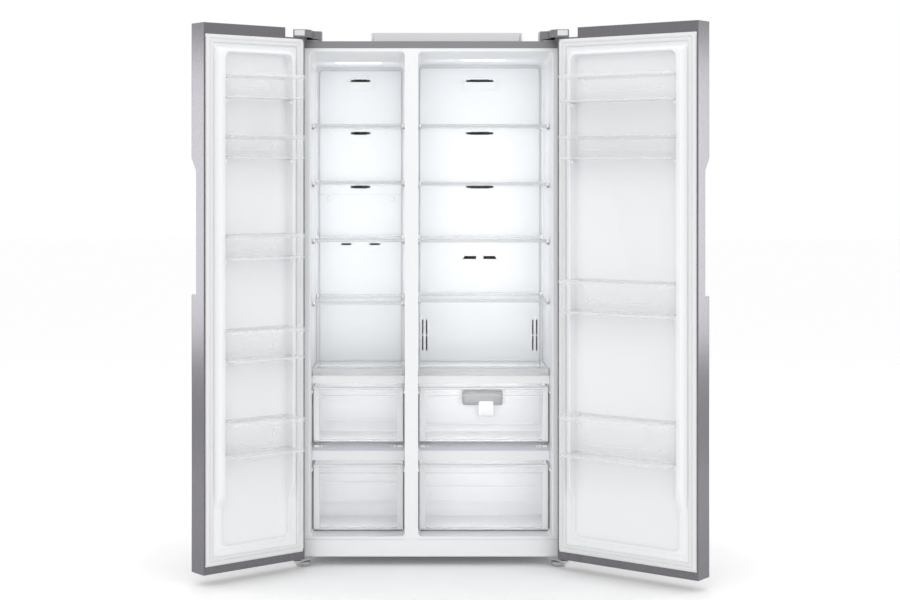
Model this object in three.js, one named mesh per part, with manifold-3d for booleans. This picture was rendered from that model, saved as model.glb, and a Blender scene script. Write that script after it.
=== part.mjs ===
// A side by side refrigerator with both doors open, built as separate pieces in millimetres.
// The model is laid out in the cabinet's own frame: x = 0 at the cabinet's centre, y = 0 at the front
// of the case (the plane the door gaskets seal on), +y to the back, z = 0 at the floor. The last lines
// move the whole group so that the origin is at the centre of its footprint, on the floor.
import * as THREE from "three";
import { mergeVertices } from "three/addons/utils/BufferGeometryUtils.js";
import { ConvexGeometry } from "three/addons/geometries/ConvexGeometry.js";
import Module from "manifold-3d";

// ---------------------------------------------------------------- driving dimensions
const GAP = 0.3; // between pieces that touch
const STEEL = 1.2; // folded sheet
const PLASTIC = 2.5; // formed liners and covers

const CASE = { half: 456, depth: 614, bottom: 32, top: 1751, frontReturn: 21.7, topReturn: 23 };
const FLOOR = 91.5; // compartment floor
const SILL_LIP = 97;
const BROW = { top: 1716, depth: 50 }; // the taller front of a compartment's ceiling
const LINER_BACK = 530;
const STEP = { back: 385, top: 300 }; // the liner's step over the machine compartment
const FREEZER = { x0: -402, x1: -87, ceiling: 1688 };
const FRIDGE = { x0: -42, x1: 406, ceiling: 1698 };
const BACK_COVER = 420; // front face of the air duct covers

const SHELF = { front: 108, back: 412, frame: 11, glass: 4 };
const FREEZER_SHELVES = [1467, 1272, 1077, 864];
const FRIDGE_SHELVES = [1467, 1268, 1075, 872];
const DRAWER = { front: 106, wall: 3, sideGap: 6, rim: 4, rimDrop: 12, lip: 6 };
const UPPER_DRAWER = { z0: 399, z1: 587, back: 400 };
const LOWER_DRAWER = { z0: 99, z1: 324, back: 372 };
const COVER = { z0: 597, band: 26, glassTop: 646 };
const DIVIDER = { z0: 336, band: 32, plate: 388 };

const DOOR = { bottom: 38, top: 1788, thick: 78, gap: 9, pivotIn: 10, pivotOut: 42, splitGap: 3 };
const SPLIT_X = -64; // where the two doors meet
const FREEZER_OPENING = 141.3; // degrees from closed, as the doors stand
const FRIDGE_OPENING = 142.4;
const NOTCH = { width: 77, floor: 1757 }; // room for the top hinge in the door's corner
const SEAL = { bottom: 64, top: 1752, edge: 7, width: 27, face: 0.8 };
const GRIP = { bottom: 923, full: 1318, top: 1369, across: 46, deep: 33 };
const DISH = { side: 66, bottom: 110, top: 1696, floor: -11, radius: 22 };
const DYKE = { height: 28, legsFrom: 300, top: 1717 };
const BIN = { back: -8, front: 104, side: 67.5, wall: 2.2, floor: 3, lift: 30 };
const FREEZER_BINS = [[1548, 78], [1356, 75], [1035, 79], [711, 100], [410, 110]];
const FRIDGE_BINS = [[1539, 88], [1354, 77], [858, 107], [394, 132]];

// ---------------------------------------------------------------- materials
function finish(color, roughness, metalness) {
  return new THREE.MeshStandardMaterial({ color, roughness, metalness });
}
const MATERIAL = {
  doorSteel: finish(0x96979b, 0.32, 0.9),
  caseSteel: finish(0x8f9094, 0.45, 0.6),
  zinc: finish(0xa7a9ac, 0.5, 0.8),
  liner: finish(0xf2f3f4, 0.35, 0),
  clear: finish(0xe3e9ec, 0.1, 0),
  glass: finish(0xdfe8ea, 0.08, 0),
  gasket: finish(0xdcdddf, 0.7, 0),
  greyPlastic: finish(0x8c8d91, 0.5, 0),
  blackPlastic: finish(0x26272a, 0.6, 0),
  aluminium: finish(0xc7c9cc, 0.4, 0.9),
  compressor: finish(0x1b1c1e, 0.5, 0.3),
  copper: finish(0xb06a43, 0.4, 0.9),
  lamp: finish(0xffffff, 0.3, 0),
};

// ---------------------------------------------------------------- solids
const wasm = await Module();
wasm.setup();

function solidOf(geometry) {
  const bare = geometry.index ? geometry.toNonIndexed() : geometry.clone();
  bare.deleteAttribute("normal");
  bare.deleteAttribute("uv");
  const merged = mergeVertices(bare, 1e-4);
  return new wasm.Manifold(
    new wasm.Mesh({
      numProp: 3,
      vertProperties: new Float32Array(merged.attributes.position.array),
      triVerts: new Uint32Array(merged.index.array),
    }),
  );
}

function geometryOf(solid) {
  const mesh = solid.getMesh();
  const geometry = new THREE.BufferGeometry();
  geometry.setAttribute("position", new THREE.BufferAttribute(mesh.vertProperties, 3));
  geometry.setIndex(new THREE.BufferAttribute(mesh.triVerts, 1));
  geometry.computeVertexNormals();
  return geometry;
}

const join = (first, ...others) => others.reduce((whole, one) => whole.add(one), first);
const cut = (first, ...others) => others.reduce((whole, one) => whole.subtract(one), first);

// A block between two limits on each axis, in either order.
function box([xa, xb], [ya, yb], [za, zb]) {
  const geometry = new THREE.BoxGeometry(Math.abs(xb - xa), Math.abs(yb - ya), Math.abs(zb - za));
  return solidOf(geometry.translate((xa + xb) / 2, (ya + yb) / 2, (za + zb) / 2));
}

// A plan outline, points [x, y] or a Shape, raised from one height to another.
function plan(outline, z0, z1, curveSegments = 4) {
  const shape = Array.isArray(outline)
    ? new THREE.Shape(outline.map(([x, y]) => new THREE.Vector2(x, y)))
    : outline;
  const options = { depth: z1 - z0, bevelEnabled: false, curveSegments };
  return solidOf(new THREE.ExtrudeGeometry(shape, options).translate(0, 0, z0));
}

// A front view outline, a Shape in x and z, run from y0 back to y1.
function front(shape, y0, y1, curveSegments = 3) {
  const options = { depth: y1 - y0, bevelEnabled: false, curveSegments };
  return solidOf(new THREE.ExtrudeGeometry(shape, options).rotateX(Math.PI / 2).translate(0, y1, 0));
}

// A side view outline, points [y, z], run across from x0 to x1.
function side(outline, x0, x1) {
  const shape = new THREE.Shape(outline.map(([y, z]) => new THREE.Vector2(y, z)));
  const geometry = new THREE.ExtrudeGeometry(shape, { depth: x1 - x0, bevelEnabled: false });
  const turn = new THREE.Matrix4().makeBasis(
    new THREE.Vector3(0, 1, 0),
    new THREE.Vector3(0, 0, 1),
    new THREE.Vector3(1, 0, 0),
  );
  return solidOf(geometry.applyMatrix4(turn).translate(x0, 0, 0));
}

function roundedRectangle(xa, xb, ya, yb, r) {
  const [x0, x1] = [Math.min(xa, xb), Math.max(xa, xb)];
  const [y0, y1] = [Math.min(ya, yb), Math.max(ya, yb)];
  const quarter = Math.PI / 2;
  const shape = new THREE.Shape();
  shape.moveTo(x0 + r, y0);
  shape.absarc(x1 - r, y0 + r, r, -quarter, 0);
  shape.absarc(x1 - r, y1 - r, r, 0, quarter);
  shape.absarc(x0 + r, y1 - r, r, quarter, 2 * quarter);
  shape.absarc(x0 + r, y0 + r, r, 2 * quarter, 3 * quarter);
  return shape;
}

// A round bar along x, y or z, between two places on that axis.
function bar(axis, [a, b], from, to, radius, sides = 16) {
  const geometry = new THREE.CylinderGeometry(radius, radius, to - from, sides);
  const middle = (from + to) / 2;
  if (axis === "x") return solidOf(geometry.rotateZ(Math.PI / 2).translate(middle, a, b));
  if (axis === "y") return solidOf(geometry.translate(a, middle, b));
  return solidOf(geometry.rotateX(Math.PI / 2).translate(a, b, middle));
}

const hull = (points) => solidOf(new ConvexGeometry(points.map((p) => new THREE.Vector3(...p))));

// ---------------------------------------------------------------- the scene
const cabinet = new THREE.Group();

function add(name, solid, material, parent = cabinet) {
  const mesh = new THREE.Mesh(geometryOf(solid), material);
  mesh.name = name;
  parent.add(mesh);
  return mesh;
}

// ---------------------------------------------------------------- case
function outerCase() {
  const { half, depth, bottom, top, frontReturn, topReturn } = CASE;
  const block = box([-half, half], [0, depth], [bottom, top]);
  const room = box([STEEL - half, half - STEEL], [STEEL, depth + 1], [bottom - 1, top - STEEL]);
  const opening = box([frontReturn - half, half - frontReturn], [-1, 2], [bottom - 1, top - topReturn]);
  return cut(block, room, opening);
}

function rearPanel() {
  const side = CASE.half - STEEL - GAP;
  const sheet = box([-side, side], [611, 612.2], [297, CASE.top - STEEL - GAP]);
  const pressing = (x) => box([x - 190, x + 190], [612, 613.4], [380, 1660]);
  return join(sheet, pressing(-215), pressing(215));
}

const ROLLER = { x: 400, y: 560, radius: 15, width: 20, axle: 3 };

// The bent base sheet: floor pan, bulkhead and roof of the machine compartment, roller cheeks and axles.
function basePan() {
  const end = CASE.half - STEEL - GAP;
  const outline = [
    [31, 32],
    [610.7, 32],
    [610.7, 33.5],
    [389.7, 33.5],
    [389.7, 294.7],
    [610.7, 294.7],
    [610.7, 296.2],
    [388.2, 296.2],
    [388.2, 33.5],
    [31, 33.5],
  ];
  const sheets = [side(outline, -end, end)];
  for (const x of [-ROLLER.x, ROLLER.x]) {
    for (const offset of [-14, 12]) {
      const cheek = [x + offset, x + offset + 2];
      sheets.push(box(cheek, [ROLLER.y - 14, ROLLER.y + 14], [8, 32.6]));
    }
    sheets.push(bar("x", [ROLLER.y, ROLLER.radius], x - 13, x + 13, ROLLER.axle, 12));
  }
  return join(...sheets);
}

function roller(x) {
  const halfWidth = ROLLER.width / 2;
  const place = [ROLLER.y, ROLLER.radius];
  const tyre = bar("x", place, x - halfWidth, x + halfWidth, ROLLER.radius, 24);
  const bore = bar("x", place, x - halfWidth - 1, x + halfWidth + 1, ROLLER.axle + 0.5, 12);
  return cut(tyre, bore);
}

function kickTrim() {
  const side = CASE.half - CASE.frontReturn - GAP;
  const face = box([-side, side], [0, PLASTIC], [CASE.bottom, FLOOR - PLASTIC - GAP]);
  const foot = box([-side, side], [0, 29], [CASE.bottom, CASE.bottom + 2]);
  return join(face, foot);
}

const mullionTrim = () =>
  box([FREEZER.x1, FRIDGE.x0], [0, PLASTIC], [FLOOR - PLASTIC, CASE.top - CASE.topReturn - GAP]);

// A thin ledge on each side wall of a compartment.
function ledges(room, y0, y1, z0, z1, reach) {
  return [
    box([room.x0 - 1, room.x0 + reach], [y0, y1], [z0, z1]),
    box([room.x1 - reach, room.x1 + 1], [y0, y1], [z0, z1]),
  ];
}

// A formed liner: an open box with a step over the machine compartment, a front flange out to the
// case, ledges under the shelves and rails under the drawer rims.
function liner(room, flangeX, shelves) {
  const { x0, x1, ceiling } = room;
  const outX = [x0 - PLASTIC, x1 + PLASTIC];
  const inX = [x0, x1];
  const outside = join(
    box(outX, [0, LINER_BACK + PLASTIC], [STEP.top - PLASTIC, ceiling + PLASTIC]),
    box(outX, [0, STEP.back + PLASTIC], [FLOOR - PLASTIC, STEP.top]),
    box(outX, [0, BROW.depth + PLASTIC], [ceiling, BROW.top + PLASTIC]),
    box(flangeX, [0, PLASTIC], [FLOOR - PLASTIC, CASE.top - CASE.topReturn - GAP]),
  );
  const shell = cut(
    outside,
    box(inX, [-1, LINER_BACK], [STEP.top, ceiling]),
    box(inX, [-1, BROW.depth], [ceiling - 1, BROW.top]),
    box(inX, [12, STEP.back], [FLOOR, STEP.top + 1]),
    box(inX, [-1, 13], [SILL_LIP, STEP.top + 1]),
    box([FREEZER.x1 - GAP, FRIDGE.x0 + GAP], [-1, PLASTIC + GAP], [FLOOR - 9, CASE.top]),
  );
  const supports = shelves.flatMap((z) => ledges(room, 125, 400, z - 8, z + 3.7, 8));
  supports.push(...ledges(room, 125, 400, COVER.z0 + 12, COVER.z0 + COVER.band - 3 - GAP, 8));
  supports.push(...ledges(room, 140, 380, DIVIDER.plate - 14, DIVIDER.plate - GAP, 8));
  for (const drawer of [UPPER_DRAWER, LOWER_DRAWER]) {
    const top = drawer.z1 - DRAWER.rimDrop - GAP;
    supports.push(...ledges(room, 60, drawer.back, top - 9, top, 4.5));
  }
  return join(shell, ...supports);
}

// ---------------------------------------------------------------- air duct covers
const slot = (x, halfWidth, z0, z1) => box([x - halfWidth, x + halfWidth], [400, 440], [z0, z1]);

// The cover over the evaporator: a plate across the compartment, a raised field with a small step,
// the hood of the top air slot, and the slots cut through it.
function backCover(room, field, slotHalf, slots) {
  const centre = (room.x0 + room.x1) / 2;
  const plate = box(
    [room.x0 + 0.5, room.x1 - 0.5],
    [BACK_COVER + 4, BACK_COVER + 6.5],
    [STEP.top + 0.5, room.ceiling - 0.5],
  );
  const upper = front(
    roundedRectangle(room.x0 + field, room.x1 - field, 1235, room.ceiling - 11, 12),
    BACK_COVER,
    BACK_COVER + 5,
  );
  const lower = box(
    [room.x0 + field, room.x1 - field],
    [BACK_COVER + 1.5, BACK_COVER + 5],
    [STEP.top + 0.5, 1240],
  );
  const hood = box(
    [centre - slotHalf - 10, centre + slotHalf + 10],
    [BACK_COVER - 6, BACK_COVER + 1],
    [1609, 1637],
  );
  const mainSlots = [1641, 1454, 1262].map((z) => slot(centre, slotHalf, z - 4, z + 4));
  return cut(join(plate, upper, lower, hood), ...mainSlots, ...slots(centre));
}

const freezerSlots = (x) => [slot(x - 51, 17, 1054, 1061), slot(x + 51, 17, 1054, 1061)];

function fridgeSlots(x) {
  const slots = [];
  for (const side of [-1, 1]) {
    const outline = [[13, 1004], [61, 1004], [54, 1015], [13, 1015]];
    const points = outline.map(([dx, z]) => new THREE.Vector2(x + side * dx, z));
    slots.push(front(new THREE.Shape(points), 400, 440));
    for (const dx of [190, 204]) {
      slots.push(slot(x + side * dx, 2.5, 677, 729));
      slots.push(slot(x + side * dx, 2.5, 735, 787));
    }
  }
  return slots;
}

// ---------------------------------------------------------------- cooling
// A finned coil: upright fins on level tubes.
function evaporator(room, z0, z1) {
  const pieces = [];
  const [x0, x1] = [room.x0 + 30, room.x1 - 30];
  const fins = 6;
  for (let i = 0; i < fins; i++) {
    const x = x0 + 8 + ((x1 - x0 - 16) * i) / (fins - 1);
    pieces.push(box([x - 1, x + 1], [445, 505], [z0, z1]));
  }
  for (const z of [z0 + 25, z1 - 25]) {
    pieces.push(bar("x", [460, z], x0, x1, 5, 6));
    pieces.push(bar("x", [490, z], x0, x1, 5, 6));
  }
  return join(...pieces);
}

function fan(x, z) {
  const pieces = [bar("y", [x, z], 452, 482, 17, 16)];
  const blades = 5;
  for (let i = 0; i < blades; i++) {
    const blade = new THREE.BoxGeometry(36, 2, 22);
    blade.rotateX(0.6).translate(31, 467, 0);
    blade.rotateY((2 * Math.PI * i) / blades).translate(x, 0, z);
    pieces.push(solidOf(blade));
  }
  return join(...pieces);
}

// The welded steel pot on its mounting plate.
function compressor() {
  const profile = [[0, 52], [68, 52], [80, 66], [84, 100], [84, 132], [76, 168], [48, 192], [0, 200]];
  const points = profile.map(([r, z]) => new THREE.Vector2(r, z));
  const pot = new THREE.LatheGeometry(points, 20).rotateX(Math.PI / 2).translate(250, 500, 0);
  const plate = box([140, 360], [425, 575], [44, 47]);
  const mounts = [-95, 95].flatMap((dx) =>
    [-60, 60].map((dy) => bar("z", [250 + dx, 500 + dy], 33.8, 45, 10, 12)),
  );
  return join(solidOf(pot), bar("z", [250, 500], 46, 60, 60, 24), plate, ...mounts);
}

// Serpentine tube in two banks, joined by end bends.
function condenser() {
  const rows = [70, 120, 170, 220];
  const ends = [-385, 60];
  const pieces = [];
  for (const y of [430, 560]) {
    rows.forEach((z, i) => {
      pieces.push(bar("x", [y, z], ends[0], ends[1], 4, 6));
      if (i > 0) pieces.push(bar("z", [ends[i % 2], y], rows[i - 1] - 4, z + 4, 4, 6));
    });
  }
  for (const x of [-300, -162, -24]) pieces.push(box([x - 1, x + 1], [420, 570], [34, 240]));
  return join(...pieces);
}

// The vented cover over the machine compartment, with the power inlet let into it.
function machineCover() {
  const sheet = box([-452, 452], [608.2, 610.7], [36, 294]);
  const boss = box([330, 394], [598, 613.4], [218, 270]);
  const socket = box([342, 382], [603, 620], [230, 258]);
  const louvres = [];
  for (const x of [-300, -120, 60, 240]) {
    for (const z of [70, 95, 120, 145]) {
      louvres.push(box([x - 60, x + 60], [600, 620], [z, z + 8]));
    }
  }
  return cut(join(sheet, boss), socket, ...louvres);
}

// ---------------------------------------------------------------- inside the compartments
const lampLens = (room) => {
  const centre = (room.x0 + room.x1) / 2;
  const outline = roundedRectangle(centre - 77.5, centre + 77.5, 122, 168, 8);
  return plan(outline, room.ceiling - 6, room.ceiling - GAP, 3);
};

// A glass shelf in its frame: front trim, raised back rail.
function shelf(room, z) {
  const { front: y0, back: y1, frame, glass } = SHELF;
  const span = [room.x0 + 1.5, room.x1 - 1.5];
  return join(
    box(span, [y0 + 8, y1 - 6], [z + 4, z + 4 + glass]),
    box(span, [y0, y0 + 12], [z, z + frame]),
    box(span, [y1 - 9, y1], [z + 3, z + frame + 5]),
  );
}

// The shelf over the upper drawer, with the white band that hangs in front of it.
function drawerCover(room) {
  const span = [room.x0 + 1.5, room.x1 - 1.5];
  const bandTop = COVER.z0 + COVER.band;
  const glassTop = COVER.glassTop;
  return join(
    box(span, [104, 109], [COVER.z0, bandTop]),
    box(span, [104, 405], [bandTop - 3, bandTop]),
    box([span[0], span[0] + 8], [120, 400], [bandTop - 1, glassTop - 3]),
    box([span[1] - 8, span[1]], [120, 400], [bandTop - 1, glassTop - 3]),
    box(span, [112, 408], [glassTop - 4, glassTop]),
    box(span, [104, 116], [glassTop - 11, glassTop + 4]),
  );
}

// The shelf between the two drawers: a band in front, then a slope up to the plate.
function divider(room) {
  const span = [room.x0 + 1.5, room.x1 - 1.5];
  const { z0, band, plate } = DIVIDER;
  const outline = [
    [104, z0],
    [108, z0],
    [108, z0 + band - 2],
    [132, plate],
    [400, plate],
    [400, plate + 3],
    [131, plate + 3],
    [104, z0 + band],
  ];
  return side(outline, ...span);
}

// An open drawer with a rim that runs on the liner's rails and a lip along its front edge.
function drawer(room, { z0, z1, back }) {
  const { front: y0, wall, sideGap, rim, rimDrop, lip } = DRAWER;
  const [x0, x1] = [room.x0 + sideGap, room.x1 - sideGap];
  const shell = cut(
    box([x0, x1], [y0, back], [z0, z1]),
    box([x0 + wall, x1 - wall], [y0 + 3, back - wall], [z0 + 3, z1 + 1]),
  );
  const rimTop = z1 - rimDrop + 4;
  return join(
    shell,
    box([x0 - rim, x0 + 1], [y0 + 4, back - 2], [z1 - rimDrop, rimTop]),
    box([x1 - 1, x1 + rim], [y0 + 4, back - 2], [z1 - rimDrop, rimTop]),
    box([x0 + 1, x1 - 1], [y0 - lip, y0 + 1], [z1 - 9, z1 - 1]),
  );
}

// ---------------------------------------------------------------- top of the case
// The long low control housing, open below.
function topCover() {
  const [x0, x1, y0, y1] = [-201, 314, 100, 225];
  const top = 1787;
  const t = PLASTIC;
  const outside = plan(roundedRectangle(x0, x1, y0, y1, 16), CASE.top + GAP, top);
  const inside = roundedRectangle(x0 + t, x1 - t, y0 + t, y1 - t, 14);
  return cut(outside, plan(inside, CASE.top, top - t));
}

// Pieces at a door's hinge are drawn in u, the distance in from the case's side: x = side (u - half).
const across = (side) => (u) => side * (u - CASE.half);
const PIVOT = [DOOR.pivotIn, -DOOR.pivotOut];

function hingeCover(side) {
  const x = across(side);
  const outline = [[2, -78], [46, -78], [60, -60], [66, -8], [92, 6], [92, 80], [20, 80], [2, 60]];
  const inset = [[4, -76], [45, -76], [58, -59], [64, -7], [90, 8], [90, 78], [21, 78], [4, 59]];
  const onCase = outline.filter(([, y]) => y > 0);
  const foot = [[2, 2], ...[...onCase].reverse(), [87, 2]].map(([u, y]) => [x(u), y]);
  const outside = join(
    plan(outline.map(([u, y]) => [x(u), y]), NOTCH.floor + 1, 1784),
    plan(foot, CASE.top + GAP, NOTCH.floor + 2),
  );
  return cut(outside, plan(inset.map(([u, y]) => [x(u), y]), CASE.top, 1782));
}

// The joggled plate that holds a door's top pin.
function topHinge(side) {
  const x = across(side);
  const armBottom = NOTCH.floor + 2;
  return join(
    box([x(14), x(80)], [10, 66], [CASE.top + GAP, CASE.top + 5]),
    box([x(6), x(40)], [10, 40], [CASE.top + GAP, armBottom + 5]),
    box([x(5), x(32)], [-54, 40], [armBottom, armBottom + 5]),
    bar("z", [x(PIVOT[0]), PIVOT[1]], armBottom - 28, armBottom + 2, 4.8, 16),
  );
}

const FOOT = { u: 29, y: 12 };

// The flat bracket under the case that carries a door's bottom pin and takes the foot's thread.
function bottomHinge(side) {
  const x = across(side);
  const top = CASE.bottom - GAP;
  const outline = [[3, -66], [24, -66], [69, 0], [69, 62], [3, 62]].map(([u, y]) => [x(u), y]);
  const plate = plan(outline, top - 5, top);
  const pin = bar("z", [x(PIVOT[0]), PIVOT[1]], top - 2, top + 26, 4.8, 16);
  const thread = bar("z", [x(FOOT.u), FOOT.y], top - 8, top + 3, 5.6, 16);
  return join(cut(plate, thread), pin);
}

// A levelling foot: a round pad on a threaded stem.
function foot(side) {
  const profile = [[0, 0], [21, 0], [25, 5], [25, 14], [23, 16], [5, 16], [5, 31.5], [0, 31.5]];
  const points = profile.map(([r, z]) => new THREE.Vector2(r, z));
  const lathe = new THREE.LatheGeometry(points, 24).rotateX(Math.PI / 2);
  return solidOf(lathe.translate(across(side)(FOOT.u), FOOT.y, 0));
}

// ---------------------------------------------------------------- doors
// A door is drawn closed. u runs from the hinge edge to the free edge, and b is the height above the
// inner edge of the steel, towards the cabinet: y = b - gap.
const BACK = -DOOR.gap;
const FACE = -DOOR.gap - DOOR.thick;

// The folded steel door pan: it is open inside the seal, has the hinge notch in its top corner and a
// slanted finger grip in the outer corner of its free edge.
function doorSkin(side, width) {
  const x = across(side);
  const t = STEEL;
  const body = (inset) => {
    const outline = roundedRectangle(x(inset), x(width - inset), FACE + inset, BACK + 20, 8 - inset);
    const block = plan(outline, DOOR.bottom + inset, DOOR.top - inset);
    const inner = box([x(-1), x(width + 1)], [BACK - inset, BACK + 30], [0, DOOR.top + 9]);
    const notch = box(
      [x(-1), x(NOTCH.width + inset)],
      [FACE - 1, BACK + 1],
      [NOTCH.floor - inset, DOOR.top + 1],
    );
    const section = [
      [width - GRIP.across - inset, FACE - 1],
      [width + 1, FACE - 1],
      [width + 1, FACE + GRIP.deep + inset],
    ];
    const corner = [width + 1, FACE - 1];
    const grip = hull([
      ...section.map(([u, y]) => [x(u), y, GRIP.bottom - inset]),
      ...section.map(([u, y]) => [x(u), y, GRIP.full]),
      [x(corner[0]), corner[1], GRIP.top + inset],
    ]);
    return cut(block, inner, notch, grip);
  };
  const mouth = box(
    [x(SEAL.edge - 1), x(width - SEAL.edge + 1)],
    [BACK - 5, BACK + 1],
    [SEAL.bottom - 1, SEAL.top + 1],
  );
  const pinHoles = bar("z", [x(PIVOT[0]), PIVOT[1]], 30, 1762, 5.6, 16);
  return cut(body(0), body(t), mouth, pinHoles);
}

// The formed inner panel: a flange behind the seal, a raised dyke down both sides and across the top,
// a dish inside it with round corners, and a pair of bosses under each bin.
function doorLiner(side, width, bins) {
  const x = across(side);
  const edge = SEAL.edge - 1 + GAP;
  const flange = box(
    [x(edge), x(width - edge)],
    [BACK - PLASTIC, BACK],
    [SEAL.bottom - 1 + GAP, SEAL.top + 1 - GAP],
  );
  const rise = (u, z, b) => [x(u), BACK + b, z];
  const dyke = hull([
    rise(56, DYKE.legsFrom - 60, -1),
    rise(width - 36, DYKE.legsFrom - 60, -1),
    rise(56, DYKE.top, -1),
    rise(width - 36, DYKE.top, -1),
    rise(60, DYKE.legsFrom, DYKE.height),
    rise(width - 48, DYKE.legsFrom, DYKE.height),
    rise(60, DYKE.top - 14, DYKE.height),
    rise(width - 48, DYKE.top - 14, DYKE.height),
  ]);
  const dish = (inset, b) => {
    const { side: s, bottom, top, radius } = DISH;
    const outline = roundedRectangle(
      x(s - inset), x(width - s + inset), bottom - inset, top + inset, radius + inset);
    return front(outline, BACK + b, BACK + DYKE.height + 1);
  };
  const well = dish(PLASTIC, DISH.floor - PLASTIC);
  const wellBlock = cut(well, box([x(0), x(width)], [BACK - 1, BACK + 99], [0, 1800]));
  const bosses = bins.flatMap(([z]) =>
    [[DISH.side - 1, DISH.side + 8], [width - DISH.side + 1, width - DISH.side - 8]].map(([a, b]) =>
      box([x(a), x(b)], [BACK + 2, BACK + 26], [z - 12, z - GAP])),
  );
  return join(cut(join(flange, dyke, wellBlock), dish(0, DISH.floor)), ...bosses);
}

// The magnetic seal: a flat ring on the liner's flange.
function doorSeal(side, width) {
  const x = across(side);
  const { bottom, top, edge, width: band, face } = SEAL;
  const y = [BACK + GAP, -face];
  const ring = (inset, r) =>
    roundedRectangle(x(edge + inset), x(width - edge - inset), bottom + inset, top - inset, r);
  return cut(front(ring(0, 8), ...y), front(ring(band, 4), y[0] - 1, y[1] + 1));
}

// A clear door bin: an open tray with round front corners.
function doorBin(side, width, [z, height]) {
  const x = across(side);
  const tray = (inset, z0, z1) => {
    const outline = roundedRectangle(
      x(BIN.side + inset), x(width - BIN.side - inset),
      BACK + BIN.back - 30, BACK + BIN.front - inset, 24 - inset);
    const behind = box([x(0), x(width)], [BACK - 99, BACK + BIN.back + inset], [z0 - 1, z1 + 1]);
    return cut(plan(outline, z0, z1), behind);
  };
  return cut(tray(0, z, z + height), tray(BIN.wall, z + BIN.floor, z + height + 1));
}

// A door's pieces, drawn closed, in a group that turns about the hinge pins.
function addDoor(name, side, width, opening, bins) {
  const pivot = new THREE.Group();
  const px = across(side)(PIVOT[0]);
  pivot.position.set(px, PIVOT[1], 0);
  pivot.rotation.z = -side * THREE.MathUtils.degToRad(opening);
  const leaf = new THREE.Group();
  leaf.position.set(-px, -PIVOT[1], 0);
  pivot.add(leaf);
  cabinet.add(pivot);
  add(`${name}_door_skin`, doorSkin(side, width), MATERIAL.doorSteel, leaf);
  add(`${name}_door_liner`, doorLiner(side, width, bins), MATERIAL.liner, leaf);
  add(`${name}_door_seal`, doorSeal(side, width), MATERIAL.gasket, leaf);
  bins.forEach((one, i) => {
    add(`${name}_bin_${i + 1}`, doorBin(side, width, one), MATERIAL.clear, leaf);
  });
}

// ---------------------------------------------------------------- assembly
add("outer_case", outerCase(), MATERIAL.caseSteel);
add("rear_panel", rearPanel(), MATERIAL.zinc);
add("base_pan", basePan(), MATERIAL.zinc);
add("kick_trim", kickTrim(), MATERIAL.liner);
add("mullion_trim", mullionTrim(), MATERIAL.liner);
const flangeEnd = CASE.half - CASE.frontReturn - GAP;
add("freezer_liner", liner(FREEZER, [-flangeEnd, FREEZER.x1 + 1], FREEZER_SHELVES), MATERIAL.liner);
add("fridge_liner", liner(FRIDGE, [FRIDGE.x0 - 1, flangeEnd], FRIDGE_SHELVES), MATERIAL.liner);
add("top_cover", topCover(), MATERIAL.greyPlastic);

for (const [where, side] of [["left", 1], ["right", -1]]) {
  add(`hinge_cover_${where}`, hingeCover(side), MATERIAL.greyPlastic);
  add(`top_hinge_${where}`, topHinge(side), MATERIAL.zinc);
  add(`bottom_hinge_${where}`, bottomHinge(side), MATERIAL.zinc);
  add(`foot_${where}`, foot(side), MATERIAL.greyPlastic);
  add(`roller_${where}`, roller(-side * ROLLER.x), MATERIAL.blackPlastic);
}

add("compressor", compressor(), MATERIAL.compressor);
add("condenser", condenser(), MATERIAL.copper);
add("machine_cover", machineCover(), MATERIAL.zinc);
add("freezer_back_cover", backCover(FREEZER, 12.5, 34, freezerSlots), MATERIAL.liner);
add("fridge_back_cover", backCover(FRIDGE, 11, 48, fridgeSlots), MATERIAL.liner);
add("freezer_evaporator", evaporator(FREEZER, 330, 560), MATERIAL.aluminium);
add("fridge_evaporator", evaporator(FRIDGE, 330, 560), MATERIAL.aluminium);
add("freezer_fan", fan((FREEZER.x0 + FREEZER.x1) / 2, 660), MATERIAL.blackPlastic);
add("fridge_fan", fan((FRIDGE.x0 + FRIDGE.x1) / 2, 660), MATERIAL.blackPlastic);

const ROOMS = [
  ["freezer", FREEZER, FREEZER_SHELVES],
  ["fridge", FRIDGE, FRIDGE_SHELVES],
];
for (const [name, room, shelves] of ROOMS) {
  add(`${name}_lamp`, lampLens(room), MATERIAL.lamp);
  shelves.forEach((z, i) => add(`${name}_shelf_${i + 1}`, shelf(room, z), MATERIAL.glass));
  add(`${name}_drawer_cover`, drawerCover(room), MATERIAL.glass);
  add(`${name}_drawer_divider`, divider(room), MATERIAL.liner);
  add(`${name}_drawer_upper`, drawer(room, UPPER_DRAWER), MATERIAL.clear);
  add(`${name}_drawer_lower`, drawer(room, LOWER_DRAWER), MATERIAL.clear);
}

const freezerDoorWidth = SPLIT_X - DOOR.splitGap / 2 + CASE.half;
const fridgeDoorWidth = CASE.half - SPLIT_X - DOOR.splitGap / 2;
addDoor("freezer", 1, freezerDoorWidth, FREEZER_OPENING, FREEZER_BINS);
addDoor("fridge", -1, fridgeDoorWidth, FRIDGE_OPENING, FRIDGE_BINS);

// The origin: the centre of the footprint, on the floor.
const refrigerator = new THREE.Group();
refrigerator.name = "side_by_side_refrigerator";
refrigerator.add(cabinet);
refrigerator.updateMatrixWorld(true);
const bounds = new THREE.Box3().setFromObject(refrigerator, true);
const middle = bounds.getCenter(new THREE.Vector3());
cabinet.position.set(-middle.x, -middle.y, -bounds.min.z);

export default refrigerator;
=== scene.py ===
import math

import bmesh
import bpy
from mathutils import Matrix, Vector


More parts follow.
